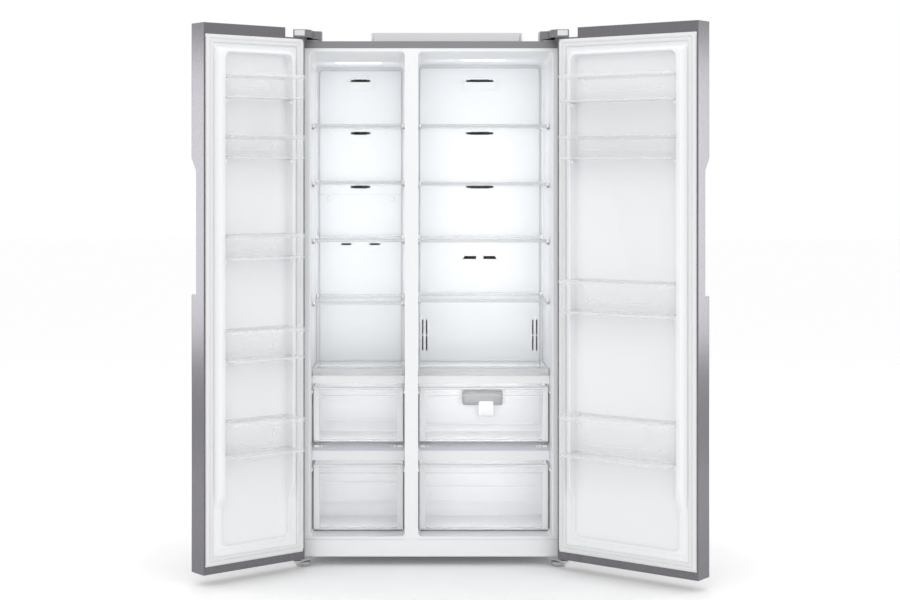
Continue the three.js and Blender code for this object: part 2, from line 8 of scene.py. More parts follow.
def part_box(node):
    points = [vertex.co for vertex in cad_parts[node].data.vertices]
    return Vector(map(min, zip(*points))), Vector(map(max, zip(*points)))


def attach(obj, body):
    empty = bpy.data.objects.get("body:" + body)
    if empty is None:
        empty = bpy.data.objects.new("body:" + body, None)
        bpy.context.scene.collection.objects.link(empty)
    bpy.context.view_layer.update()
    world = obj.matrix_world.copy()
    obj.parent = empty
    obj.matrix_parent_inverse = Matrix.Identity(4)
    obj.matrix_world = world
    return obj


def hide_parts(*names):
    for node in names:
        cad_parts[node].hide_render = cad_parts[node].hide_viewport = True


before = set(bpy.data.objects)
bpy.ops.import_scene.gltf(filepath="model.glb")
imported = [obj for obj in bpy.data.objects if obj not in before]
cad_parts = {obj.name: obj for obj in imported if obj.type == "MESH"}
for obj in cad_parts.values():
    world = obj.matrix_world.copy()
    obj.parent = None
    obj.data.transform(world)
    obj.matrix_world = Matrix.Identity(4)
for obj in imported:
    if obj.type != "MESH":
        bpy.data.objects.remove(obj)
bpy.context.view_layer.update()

# Shapes are drawn in millimetres in the cabinet's own frame: x = 0 at the case's centre, y = 0 at
# the case's front, z = 0 on the floor. ORIGIN takes that frame to the row frame.
MM = 0.001
case_low, case_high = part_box("outer_case")
ORIGIN = Vector(((case_low.x + case_high.x) / 2, case_low.y, 0.0))

CASE_HALF = 456
ROOMS = {
    "freezer": {
        "x0": -402,
        "x1": -87,
        "ceiling": 1688,
        "shelves": [1467, 1272, 1077, 864],
        "cover_margin": 12.5,
        "slot_half": 23,
        "back_ribs": {"upper": [430], "lower": [141, 212]},
    },
    "fridge": {
        "x0": -42,
        "x1": 406,
        "ceiling": 1698,
        "shelves": [1467, 1268, 1075, 872],
        "cover_margin": 11,
        "slot_half": 33,
        "back_ribs": {"upper": [417], "lower": [141, 197]},
    },
}
# Each door's bins are [floor height, wall height]; "step" is where the line on their front rises.
DOORS = {
    "freezer": {
        "side": 1,
        "width": 390.5,
        "opening": 141.3,
        "step": 192,
        "bins": [[1548, 78], [1356, 75], [1035, 79], [711, 100], [410, 110]],
    },
    "fridge": {
        "side": -1,
        "width": 518.5,
        "opening": 142.4,
        "step": 168,
        "bins": [[1539, 88], [1354, 77], [858, 107], [394, 132]],
    },
}
PIVOT_IN, PIVOT_OUT = 10, 42
GASKET_GAP = 9
BIN_END = 67.5
BIN_FLARE = 8
# Each drawer is (bottom, rim, back).
DRAWERS = {"upper": (399, 587, 400), "lower": (99, 324, 372)}
DRAWER_FRONT = 106
COVER_FACE = 421
SLOT_HEIGHTS = (1641, 1454, 1262)


# ---------------------------------------------------------------- materials
def noise_of(tree, scale, stretch, detail=4.0):
    """A noise texture laid on the piece's own coordinates."""
    where = tree.nodes.new("ShaderNodeTexCoord")
    mapping = tree.nodes.new("ShaderNodeMapping")
    mapping.inputs["Scale"].default_value = stretch
    noise = tree.nodes.new("ShaderNodeTexNoise")
    noise.inputs["Scale"].default_value = scale
    noise.inputs["Detail"].default_value = detail
    tree.links.new(where.outputs["Object"], mapping.inputs["Vector"])
    tree.links.new(mapping.outputs["Vector"], noise.inputs["Vector"])
    return noise


def material(name, color, roughness, metallic=0.0, alpha=1.0, grain=(120, (1, 1, 1)), tone=0.02,
             rough_span=0.06, bump=0.02, coat=0.0, glow=0.0, anisotropy=0.0):
    """A surface with a fine grain that varies its tone, its roughness and its relief a little."""
    made = bpy.data.materials.new(name)
    made.use_nodes = True
    tree = made.node_tree
    shader = tree.nodes["Principled BSDF"]
    shader.inputs["Metallic"].default_value = metallic
    shader.inputs["Alpha"].default_value = alpha
    shader.inputs["Coat Weight"].default_value = coat
    shader.inputs["Anisotropic"].default_value = anisotropy
    if glow:
        shader.inputs["Emission Color"].default_value = (1, 1, 1, 1)
        shader.inputs["Emission Strength"].default_value = glow
    noise = noise_of(tree, *grain)
    ramp = tree.nodes.new("ShaderNodeValToRGB")
    ramp.color_ramp.elements[0].position = 0.3
    ramp.color_ramp.elements[1].position = 0.7
    ramp.color_ramp.elements[0].color = (*[c * (1 - tone) for c in color], 1)
    ramp.color_ramp.elements[1].color = (*[min(1, c * (1 + tone)) for c in color], 1)
    tree.links.new(noise.outputs["Fac"], ramp.inputs["Fac"])
    tree.links.new(ramp.outputs["Color"], shader.inputs["Base Color"])
    spread = tree.nodes.new("ShaderNodeMapRange")
    spread.inputs["To Min"].default_value = max(0.02, roughness - rough_span)
    spread.inputs["To Max"].default_value = roughness + rough_span
    tree.links.new(noise.outputs["Fac"], spread.inputs["Value"])
    tree.links.new(spread.outputs["Result"], shader.inputs["Roughness"])
    relief = tree.nodes.new("ShaderNodeBump")
    relief.inputs["Strength"].default_value = bump
    relief.inputs["Distance"].default_value = 0.001
    tree.links.new(noise.outputs["Fac"], relief.inputs["Height"])
    tree.links.new(relief.outputs["Normal"], shader.inputs["Normal"])
    return made


BRUSHED = (40, (30, 30, 0.6))
STEEL = material("brushed_steel", (0.18, 0.175, 0.19), 0.28, metallic=0.95, grain=BRUSHED,
                 tone=0.06, rough_span=0.05, bump=0.05, anisotropy=0.3)
CASE_PAINT = material("case_paint", (0.25, 0.247, 0.26), 0.42, metallic=0.4, tone=0.03, bump=0.06,
                      grain=(900, (1, 1, 1)))
ZINC = material("zinc_plate", (0.55, 0.56, 0.57), 0.42, metallic=0.85, tone=0.12,
                grain=(35, (1, 1, 1)), rough_span=0.1)
WHITE = material("white_plastic", (0.86, 0.87, 0.885), 0.3, tone=0.01, bump=0.03, coat=0.15,
                 grain=(500, (1, 1, 1)))
TRIM = material("trim_plastic", (0.88, 0.885, 0.89), 0.25, tone=0.01, bump=0.02, coat=0.3)
CLEAR = material("clear_plastic", (0.95, 0.96, 0.97), 0.1, alpha=0.1, tone=0.02, bump=0.02,
                 coat=0.5, rough_span=0.03)
RIM = material("clear_rim", (0.86, 0.87, 0.885), 0.13, alpha=0.3, tone=0.02, bump=0.02, coat=0.6,
               rough_span=0.03)
RIBBED = material("ribbed_clear", (0.92, 0.925, 0.935), 0.22, alpha=0.62, tone=0.02, bump=0.05,
                  coat=0.3)
FROST = material("frosted_clear", (0.93, 0.94, 0.955), 0.16, alpha=0.2, tone=0.02, bump=0.03,
                 coat=0.4)
GLASS = material("shelf_glass", (0.80, 0.86, 0.88), 0.06, alpha=0.12, tone=0.02, bump=0.005,
                 coat=0.6, rough_span=0.02)
# Painted shade: this blue-grey stands in for the shadow in the joints of the air duct covers and on
# the recessed top of the drawer divider.
PAINTED_SHADE = material("painted_shade_blue_grey", (0.66, 0.68, 0.73), 0.4, tone=0.03, bump=0.03)
SEAL = material("seal_rubber", (0.76, 0.765, 0.77), 0.5, tone=0.03, bump=0.08,
                grain=(350, (1, 1, 1)))
GREY = material("grey_plastic", (0.19, 0.185, 0.2), 0.38, tone=0.03, bump=0.1, metallic=0.2,
                grain=(800, (1, 1, 1)))
SILVER = material("silver_plastic", (0.72, 0.72, 0.73), 0.3, metallic=0.55, tone=0.02, bump=0.04,
                  grain=(900, (1, 1, 1)))
DARK = material("dark_plastic", (0.035, 0.033, 0.04), 0.5, tone=0.1, bump=0.08)
BLACK = material("black_enamel", (0.02, 0.02, 0.022), 0.35, tone=0.1, bump=0.05, coat=0.3)
COPPER = material("copper_tube", (0.55, 0.27, 0.16), 0.35, metallic=0.95, tone=0.12,
                  grain=(60, (1, 1, 1)))
COIL = material("coil_aluminium", (0.72, 0.73, 0.74), 0.35, metallic=0.95, tone=0.06,
                grain=(90, (1, 1, 1)))
LENS = material("lamp_lens", (0.95, 0.96, 0.97), 0.3, glow=1.2, tone=0.01)


# ---------------------------------------------------------------- meshes
def leaf_matrix(name):
    """Takes a door drawn closed to where it stands open."""
    door = DOORS[name]
    pivot = Vector((door["side"] * (PIVOT_IN - CASE_HALF), -PIVOT_OUT, 0))
    turn = Matrix.Rotation(-door["side"] * math.radians(door["opening"]), 4, "Z")
    return Matrix.Translation(pivot) @ turn @ Matrix.Translation(-pivot)


def soften(piece, width, segments=3, angle=35):
    """Rounded edges and smooth shading between them."""
    if width:
        edges = piece.modifiers.new("edges", "BEVEL")
        edges.width = width * MM
        edges.segments = segments
        edges.limit_method = "ANGLE"
        edges.angle_limit = math.radians(angle)
        edges.harden_normals = True
    piece.data.polygons.foreach_set("use_smooth", [True] * len(piece.data.polygons))
    piece.data.set_sharp_from_angle(angle=math.radians(angle))


def put(name, mesh, surface, body, door=None, bevel=0.0, angle=35, stands_for=None):
    """Makes a piece from a bmesh in millimetres and lets it ride on its body."""
    bmesh.ops.recalc_face_normals(mesh, faces=mesh.faces)
    data = bpy.data.meshes.new(name)
    mesh.to_mesh(data)
    mesh.free()
    if door:
        data.transform(leaf_matrix(door))
    data.transform(Matrix.Translation(ORIGIN) @ Matrix.Scale(MM, 4))
    data.materials.append(surface)
    piece = bpy.data.objects.new(name, data)
    bpy.context.scene.collection.objects.link(piece)
    soften(piece, bevel, angle=angle)
    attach(piece, body)
    if stands_for:
        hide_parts(stands_for)
    return piece


def boxes(blocks):
    """One bmesh of blocks, each ((x0, x1), (y0, y1), (z0, z1))."""
    mesh = bmesh.new()
    for block in blocks:
        sides = [sorted(span) for span in block]
        centre = Vector([(a + b) / 2 for a, b in sides])
        size = Vector([b - a for a, b in sides])
        matrix = Matrix.Translation(centre) @ Matrix.Diagonal((*size, 1))
        bmesh.ops.create_cube(mesh, size=1, matrix=matrix)
    return mesh


def ring(u0, u1, v0, v1, low, high, marks=(), steps=6):
    """A rounded rectangle as points (u, v), with its own corner radius at the low and the high v,
    and extra points on both upright sides at the places in marks."""
    points = []

    def corner(cu, cv, r, start):
        for i in range(steps + 1):
            angle = math.radians(start + 90 * i / steps)
            points.append((cu + r * math.cos(angle), cv + r * math.sin(angle)))

    corner(u1 - low, v0 + low, low, -90)
    points.extend((u1, v) for v in marks)
    corner(u1 - high, v1 - high, high, 0)
    corner(u0 + high, v1 - high, high, 90)
    points.extend((u0, v) for v in reversed(marks))
    corner(u0 + low, v0 + low, low, 180)
    return points


def loft(rings, first=True, last=True, around=False):
    """Skins a list of rings of equally many points (x, y, z)."""
    mesh = bmesh.new()
    loops = [[mesh.verts.new(p) for p in points] for points in rings]
    pairs = list(zip(loops, loops[1:]))
    if around:
        pairs.append((loops[-1], loops[0]))
    for a, b in pairs:
        for i in range(len(a)):
            j = (i + 1) % len(a)
            mesh.faces.new((a[i], a[j], b[j], b[i]))
    if first and not around:
        mesh.faces.new(loops[0])
    if last and not around:
        mesh.faces.new(loops[-1])
    return mesh


def door_x(name, u):
    return DOORS[name]["side"] * (u - CASE_HALF)


def door_blocks(name, blocks):
    """Blocks given in a door's own u, b and z."""
    return boxes([
        ([door_x(name, u) for u in us], [b - GASKET_GAP for b in bs], zs)
        for us, bs, zs in blocks
    ])


def disc_profile(centre, axis, profile, steps=32):
    """A turned shape: profile is a list of (radius, distance along the axis)."""
    rings = []
    for radius, along in profile:
        points = []
        for i in range(steps):
            angle = 2 * math.pi * i / steps
            c, s = radius * math.cos(angle), radius * math.sin(angle)
            x, y, z = centre
            if axis == "y":
                points.append((x + c, y + along, z + s))
            else:
                points.append((x + c, y + s, z + along))
        rings.append(points)
    return loft(rings)


# ---------------------------------------------------------------- pieces carried over from CAD
CARRIED = {
    "outer_case": (CASE_PAINT, 0.5),
    "rear_panel": (ZINC, 0.6),
    "base_pan": (ZINC, 0.0),
    "kick_trim": (WHITE, 0.8),
    "mullion_trim": (WHITE, 1.0),
    "top_cover": (SILVER, 1.0),
    "machine_cover": (ZINC, 0.0),
    "compressor": (BLACK, 1.0),
    "condenser": (COPPER, 0.0),
    "freezer_back_cover": (WHITE, 0.8),
    "fridge_back_cover": (WHITE, 0.8),
    "freezer_evaporator": (COIL, 0.0),
    "fridge_evaporator": (COIL, 0.0),
    "freezer_fan": (DARK, 0.4),
    "fridge_fan": (DARK, 0.4),
    "freezer_drawer_divider": (WHITE, 0.8),
    "fridge_drawer_divider": (WHITE, 0.8),
    "freezer_door_skin": (STEEL, 0.5),
    "fridge_door_skin": (STEEL, 0.5),
}
for where in ("left", "right"):
    CARRIED[f"hinge_cover_{where}"] = (GREY, 0.9)
    CARRIED[f"top_hinge_{where}"] = (ZINC, 0.6)
    CARRIED[f"bottom_hinge_{where}"] = (ZINC, 0.6)
    CARRIED[f"roller_{where}"] = (DARK, 1.0)
for node, (surface, bevel) in CARRIED.items():
    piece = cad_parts[node]
    piece.data.materials.clear()
    piece.data.materials.append(surface)
    soften(piece, bevel)


# ---------------------------------------------------------------- compartments
def build_liner(name):
    """The formed inner shell: flange, rolled front edge, soft corners, and the step at the back."""
    room = ROOMS[name]
    x0, x1, top = room["x0"], room["x1"], room["ceiling"]
    wall_left = name == "freezer"
    outer = 434.0

    def face(y, grow, z0, z1, r):
        # The side towards the centre post has no flange.
        left = x0 - grow if wall_left else x0 - min(grow, 0)
        right = x1 + min(grow, 0) if wall_left else x1 + grow
        return [(u, y, v) for u, v in ring(left, right, z0, z1, r, r)]

    flange = outer + x0 if wall_left else outer - x1
    rings = [
        face(2.4, flange, 89.5, 1727.5, 1),
        face(0, flange, 89.5, 1727.5, 1),
        face(0, 4.5, 96, 1718, 15),
        face(0.7, 2.2, 98, 1716.5, 14),
        face(3, 0.4, 99, 1715.5, 14),
        face(8, 0, 98, 1714, 14),
        face(32, 0, 92.5, 1709, 16),
        face(58, 0, 92.5, top + 3, 17),
        face(82, 0, 92.5, top, 18),
        face(384, 0, 92.5, top, 18),
        face(384, 0, 302, top, 18),
        face(526, 0, 302, top, 18),
        face(530, -4, 306, top - 4, 14),
    ]
    put(f"{name}_liner_shell", loft(rings, first=False), WHITE, "cabinet",
        stands_for=f"{name}_liner")
    fittings = []
    for wall, way in ((x0, 1), (x1, -1)):
        def inward(a, b, wall=wall, way=way):
            return wall + way * a, wall + way * b
        fittings.append((inward(-1, 4), (384, 402), (880, top - 14)))
        for z in room["shelves"]:
            fittings.append((inward(-1, 7.5), (128, 398), (z - 6, z - 1)))
            fittings.append((inward(-1, 7.5), (128, 150), (z - 9, z + 3)))
        fittings.append((inward(-1, 7.5), (128, 398), (610, 619)))
        fittings.append((inward(-1, 7.5), (142, 378), (376, 387)))
        for z0, z1, back in DRAWERS.values():
            fittings.append((inward(-1, 4.2), (62, back), (z1 - 20, z1 - 13)))
    put(f"{name}_liner_ledges", boxes(fittings), WHITE, "cabinet", bevel=1.2)


def build_shelf(name, node, z):
    """A glass pane with a clear front trim, white ends and a rear rail."""
    room = ROOMS[name]
    x0, x1 = room["x0"] + 1.5, room["x1"] - 1.5
    pane = boxes([((x0 + 2, x1 - 2), (116, 406), (z + 4, z + 8))])
    put(f"{node}_pane", pane, GLASS, "cabinet", bevel=0.6, stands_for=node)
    trim = [
        ((x0, x1), (108, 120), (z, z + 3.2)),
        ((x0, x1), (108, 111), (z, z + 11)),
        ((x0, x1), (108, 118), (z + 8.6, z + 11)),
    ]
    put(f"{node}_trim", boxes(trim), RIM, "cabinet", bevel=0.9)
    ends = []
    for a, b in ((x0, x0 + 9), (x1 - 9, x1)):
        ends.append(((a, b), (107.6, 124), (z - 0.4, z + 12)))
        ends.append(((a + 1, b - 1), (396, 412), (z + 2, z + 15)))
    put(f"{node}_ends", boxes(ends), TRIM, "cabinet", bevel=1.5)
    rail = [((x0 + 9, x1 - 9), (404, 411.5), (z + 3, z + 14))]
    put(f"{node}_rail", boxes(rail), RIM, "cabinet", bevel=1.5)


def build_drawer_cover(name):
    """The glass over the upper drawer, its white front band and the clear trim above the band."""
    room = ROOMS[name]
    x0, x1 = room["x0"] + 1.5, room["x1"] - 1.5
    node = f"{name}_drawer_cover"
    pane = boxes([((x0 + 3, x1 - 3), (114, 407), (642, 646))])
    put(f"{node}_pane", pane, GLASS, "cabinet", bevel=0.6, stands_for=node)
    band = [
        ((x0, x1), (104, 109), (597, 622.5)),
        ((x0, x1), (104, 404), (620, 623)),
        ((x0, x0 + 8), (118, 400), (622, 642.5)),
        ((x1 - 8, x1), (118, 400), (622, 642.5)),
    ]
    put(f"{node}_band", boxes(band), TRIM, "cabinet", bevel=1.2)
    front = [
        ((x0, x1), (104, 107), (635, 650)),
        ((x0, x1), (104, 116), (635, 638)),
        ((x0, x1), (104, 115), (647, 650)),
    ]
    put(f"{node}_front", boxes(front), RIM, "cabinet", bevel=1.0)


def build_drawer_tub(node, x0, x1, z0, z1, back):
    """The open tub as one sheet, with a thick rolled rim."""
    span = z1 - z0

    def level_ring(inset, z, low, high):
        points = ring(x0 + inset, x1 - inset, DRAWER_FRONT + inset, back - inset, low, high)
        return [(u, v, z) for u, v in points]

    tub = [
        level_ring(12, z0, 4, 10),
        level_ring(4, z0 + 1.5, 5, 12),
        level_ring(1.5, z0 + 6, 6, 13),
        level_ring(0.8, z0 + 0.4 * span, 6, 13),
        level_ring(0, z1 - 12, 6, 13),
    ]
    put(f"{node}_tub", loft(tub, last=False), FROST, node, stands_for=node)
    rim = [
        level_ring(0, z1 - 12, 6, 13),
        level_ring(0, z1 - 0.8, 6, 13),
        level_ring(0.8, z1, 5.4, 12),
        level_ring(1.8, z1, 5, 11),
        level_ring(2.6, z1 - 1, 4.6, 11),
        level_ring(2.8, z1 - 12, 4.4, 11),
    ]
    put(f"{node}_rim", loft(rim, first=False, last=False), RIM, node)


def build_drawer_gap_shade(node, x0, x1, z0, z1):
    """Dark strips of painted shade in the gap beside and under the drawer, fixed to the cabinet;
    they stand in for the shadow in that gap.
    """
    deep = (DRAWER_FRONT + 3, DRAWER_FRONT + 9)
    gap_shade = [
        ((x0 - 5.2, x0 - 0.8), deep, (z0 - 3.8, z1 - 14)),
        ((x1 + 0.8, x1 + 5.2), deep, (z0 - 3.8, z1 - 14)),
        ((x0 - 0.8, x1 + 0.8), deep, (z0 - 3.8, z0 - 0.9)),
    ]
    put(f"{node}_surround", boxes(gap_shade), GREY, "cabinet")


def build_drawer_posts(node, x0, x1, z0, z1):
    """The white posts on both front corners, a little narrower at the top."""
    front = DRAWER_FRONT
    taper = 2.5
    posts = bmesh.new()
    for a, way in ((x0, 1), (x1, -1)):
        corners = [
            (a + way * 20, front - 1.6, z0 + 5),
            (a + way * (20 - taper), front - 1.6, z1 - 9),
            (a + way * 0.5, front - 1.6, z1 - 9),
            (a + way * 1.5, front - 1.6, z0 + 5),
        ]
        near = [posts.verts.new(c) for c in corners]
        far = [posts.verts.new((x, front + 2.5, z)) for x, y, z in corners]
        posts.faces.new(near)
        posts.faces.new(far)
        for i in range(4):
            j = (i + 1) % 4
            posts.faces.new((near[i], near[j], far[j], far[i]))
    put(f"{node}_posts", posts, TRIM, node, bevel=1.2)


def build_drawer_trims(node, x0, x1, z0, z1, back, rib_heights):
    """The front lip with its side runners, and the ribs of the front and the back wall."""
    front = DRAWER_FRONT
    lip = [
        ((x0 + 1, x1 - 1), (front - 6, front + 1.5), (z1 - 4, z1 - 0.5)),
        ((x0 + 1, x1 - 1), (front - 6, front - 3.6), (z1 - 9, z1 - 1)),
        ((x0 - 3.8, x0 + 1), (front + 4, back - 2), (z1 - 12, z1 - 8.5)),
        ((x1 - 1, x1 + 3.8), (front + 4, back - 2), (z1 - 12, z1 - 8.5)),
    ]
    put(f"{node}_lip", boxes(lip), TRIM, node, bevel=1.0)
    ribs = [
        ((x0 + 19, x1 - 19), (front - 1.2, front + 1), (z1 - 33, z1 - 30.6)),
        ((x0 + 19, x1 - 19), (front - 1.2, front + 1), (z0 + 5, z0 + 9)),
    ]
    put(f"{node}_ribs", boxes(ribs), RIM, node, bevel=0.7)
    lines = [((x0 + 28, x1 - 28), (back - 5, back - 2), (z, z + 3)) for z in rib_heights]
    put(f"{node}_back_ribs", boxes(lines), TRIM, node, bevel=0.8)


def build_drawer(name, level):
    """A clear tub with white corner posts and a bright lip, with dark strips of painted shade in
    the gap round it.
    """
    room = ROOMS[name]
    z0, z1, back = DRAWERS[level]
    x0, x1 = room["x0"] + 6, room["x1"] - 6
    node = f"{name}_drawer_{level}"
    build_drawer_tub(node, x0, x1, z0, z1, back)
    build_drawer_gap_shade(node, x0, x1, z0, z1)
    build_drawer_posts(node, x0, x1, z0, z1)
    build_drawer_trims(node, x0, x1, z0, z1, back, room["back_ribs"][level])


def build_lamp(name):
    """The glowing lens in the compartment's ceiling."""
    room = ROOMS[name]
    centre = (room["x0"] + room["x1"]) / 2
    base = room["ceiling"]

    def lens(grow, z):
        points = ring(centre - 76 - grow, centre + 76 + grow, 125 - grow, 147 + grow, 6, 6)
        return [(u, v, z) for u, v in points]

    put(f"{name}_lamp_lens", loft([lens(1, base - 0.4), lens(1, base - 1.4), lens(0, base - 2.4),
                                   lens(-2, base - 3)]),
        LENS, "cabinet", stands_for=f"{name}_lamp")


def build_cover_shade_ring(name):
    """A thin blue-grey ring round the raised field of the air duct cover: painted shade that stands
    in for the shadow in the narrow joint.
    """
    room = ROOMS[name]
    left = room["x0"] + room["cover_margin"]
    right = room["x1"] - room["cover_margin"]
    top = room["ceiling"] - 11

    def outline(grow, y):
        points = ring(left - grow, right + grow, 640 - grow, top + grow, 2, 13, steps=8)
        return [(u, y, v) for u, v in points]

    edge = [
        outline(0.2, COVER_FACE),
        outline(0.2, COVER_FACE - 1.4),
        outline(2.0, COVER_FACE - 1.4),
        outline(2.0, COVER_FACE),
    ]
    put(f"{name}_cover_joint_shade", loft(edge, around=True), PAINTED_SHADE, "cabinet")


def build_slot_shade_strips(name):
    """Dark strips just above and below the three main air slots: painted shade that makes the
    slots' shadowed openings look taller.
    """
    room = ROOMS[name]
    centre = (room["x0"] + room["x1"]) / 2
    across = (centre - room["slot_half"], centre + room["slot_half"])
    shade_strips = []
    for z in SLOT_HEIGHTS:
        for low, high in ((-5.4, -3.8), (3.8, 5.4)):
            shade_strips.append((across, (COVER_FACE - 1.8, COVER_FACE + 0.5), (z + low, z + high)))
    put(f"{name}_slot_shade_strips", boxes(shade_strips), DARK, "cabinet", bevel=0.3)


def build_freezer_cover_seam_shade():
    """A thin blue-grey strip along the joint between the upper and the lower half of the freezer's
    air duct cover: painted shade that stands in for the shadow in the joint.
    """
    room = ROOMS["freezer"]
    margin = room["cover_margin"]
    across = (room["x0"] + margin, room["x1"] - margin)
    seam = [(across, (COVER_FACE - 0.8, COVER_FACE + 0.5), (1234, 1236))]
    put("freezer_cover_seam_shade", boxes(seam), PAINTED_SHADE, "cabinet")


def build_divider_recess(name):
    """The strip above the band between the drawers, blue-grey as painted shade for the shadow in
    this recess, with its small clips.
    """
    room = ROOMS[name]
    x0, x1 = room["x0"] + 1.5, room["x1"] - 1.5
    section = [(103.7, 368.6), (130.6, 391.8), (131.2, 391.2), (105.2, 367.6)]
    strip = [[(x, y, z) for y, z in section] for x in (x0 + 1, x1 - 1)]
    put(f"{name}_divider_top_shade", loft(strip), PAINTED_SHADE, "cabinet")
    clips = []
    for start, way in ((x0, 1), (x1, -1)):
        for a, b in ((6, 24), (28, 36), (40, 44)):
            clips.append(((start + way * a, start + way * b), (112, 120), (378, 386)))
    put(f"{name}_divider_clips", boxes(clips), TRIM, "cabinet", bevel=1.0)
    lip = [((x0 + 1, x1 - 1), (126, 132), (391, 393.4))]
    put(f"{name}_divider_lip", boxes(lip), TRIM, "cabinet", bevel=0.8)


for room_name in ROOMS:
    build_lamp(room_name)
    build_cover_shade_ring(room_name)
    build_slot_shade_strips(room_name)
    build_divider_recess(room_name)
    build_liner(room_name)
    for index, height in enumerate(ROOMS[room_name]["shelves"]):
        build_shelf(room_name, f"{room_name}_shelf_{index + 1}", height)
    build_drawer_cover(room_name)
    for drawer_level in DRAWERS:
        build_drawer(room_name, drawer_level)

build_freezer_cover_seam_shade()
for index, x in enumerate((-358, -132)):
    cap = disc_profile((x, 416.6, 1220), "y", [(6, 0), (8.4, 0.5), (9, 1.6), (9, 8)])
    put(f"screw_cap_{index + 1}", cap, TRIM, "cabinet", angle=50)


def plate(x0, x1, y0, y1, z0, z1, r):
    """A flat plate with round corners and eased front edges, seen from the front."""
    def outline(grow, y):
        return [(u, y, v) for u, v in ring(x0 - grow, x1 + grow, z0 - grow, z1 + grow, r, r)]
    return loft([outline(-1.5, y0), outline(-0.4, y0 + 0.4), outline(0, y0 + 1.4), outline(0, y1)])


def build_crisper_vent():
    """The rounded grey insert behind the upper crisper, and the plain tag under it."""
    put("crisper_vent_frame", plate(119, 263, 402.5, 412, 483, 537, 9), DARK,
        "cabinet")
    put("crisper_vent_recess", plate(127, 255, 402.0, 404, 494, 529, 5), GREY,
        "cabinet")
    put("crisper_vent_tag", plate(177, 230, 401.0, 403, 446, 498, 5), TRIM,
        "cabinet")


build_crisper_vent()


# ---------------------------------------------------------------- doors
def build_door_liner(name):
    """The formed inner panel: a raised dyke around a dish; the dyke fades out under the bins."""
    width = DOORS[name]["width"]
    marks = (232, 240, 250, 262, 275, 288, 296, 302)

    def height(z):
        t = min(1.0, max(0.0, (z - 240) / 56))
        return 0.1 + 0.9 * t * t * (3 - 2 * t)

    def face(u_in, u_out, z0, z1, r, b):
        points = ring(u_in, width - u_out, z0, z1, r, r, marks=marks)
        return [(door_x(name, u), b * (height(z) if b > 0 else 1) - GASKET_GAP, z)
                for u, z in points]

    rings = [
        face(6.4, 6.4, 63.4, 1752.5, 3, -2.4),
        face(6.4, 6.4, 63.4, 1752.5, 3, 0),
        face(44, 36, 100, 1724, 8, 0),
        face(52, 37.5, 106, 1716, 12, 1.5),
        face(55, 39.5, 109, 1712, 14, 8),
        face(58, 46, 112, 1705, 16, 25),
        face(59.4, 48, 114, 1703, 17, 27.5),
        face(61, 50, 115, 1701.5, 18, 28),
        face(63.5, 63, 117, 1698.5, 20, 28),
        face(65, 65, 118, 1697, 21, 27),
        face(66, 66, 119, 1696, 22, 24),
        face(67, 67, 121, 1695, 22, -5),
        face(69, 69, 123, 1693, 22, -9),
        face(75, 75, 129, 1687, 18, -11),
    ]
    put(f"{name}_door_panel", loft(rings, first=False), WHITE, f"{name}_door",
        door=name, stands_for=f"{name}_door_liner")
    bosses = []
    for z, _ in DOORS[name]["bins"]:
        for a, b in ((65, 74), (width - 74, width - 65)):
            bosses.append(((a, b), (2, 25), (z - 12, z - 0.4)))
    put(f"{name}_door_bosses", door_blocks(name, bosses), WHITE,
        f"{name}_door", door=name, bevel=2.0)


def build_seal(name):
    """The folded profile of the magnetic seal, run round the door."""
    width = DOORS[name]["width"]
    profile = [
        (7, 0.4), (7, 3), (8.5, 6), (11.5, 7.8), (18, 8.0), (20, 6.2), (21.5, 4.6), (23, 6.2),
        (25, 7.6), (29.5, 7.2), (32.6, 5), (34, 2.5), (34, 0.4),
    ]
    rings = []
    for inset, b in profile:
        r = max(3.0, 40 - inset - 20)
        points = ring(inset, width - inset, 57 + inset, 1759 - inset, r, r)
        rings.append([(door_x(name, u), b - GASKET_GAP, z) for u, z in points])
    put(f"{name}_door_gasket", loft(rings, around=True), SEAL, f"{name}_door",
        door=name, stands_for=f"{name}_door_seal", angle=60)


def build_bin_step(name, node, z, tall):
    """The line on the front of a bin: low on the free side, rising to the rim at the hinge side."""
    width = DOORS[name]["width"]
    rise = DOORS[name]["step"]
    path = [(width - 76, 0.42), (rise + 24, 0.38), (rise + 14, 0.39), (rise + 5, 0.46),
            (rise, 0.62), (rise - 6, 0.78), (rise - 14, 0.86), (78, 0.88)]
    band = []
    for u, share in path:
        height = z + share * tall
        band.append([(door_x(name, u + du), b - GASKET_GAP, height + dz) for b, du, dz in
                     ((96.6, 0, 0), (100.6, 0, 0), (100.6, 1.1, 1.7), (96.6, 1.1, 1.7))])
    put(f"{node}_step", loft(band), RIM, node, door=name)


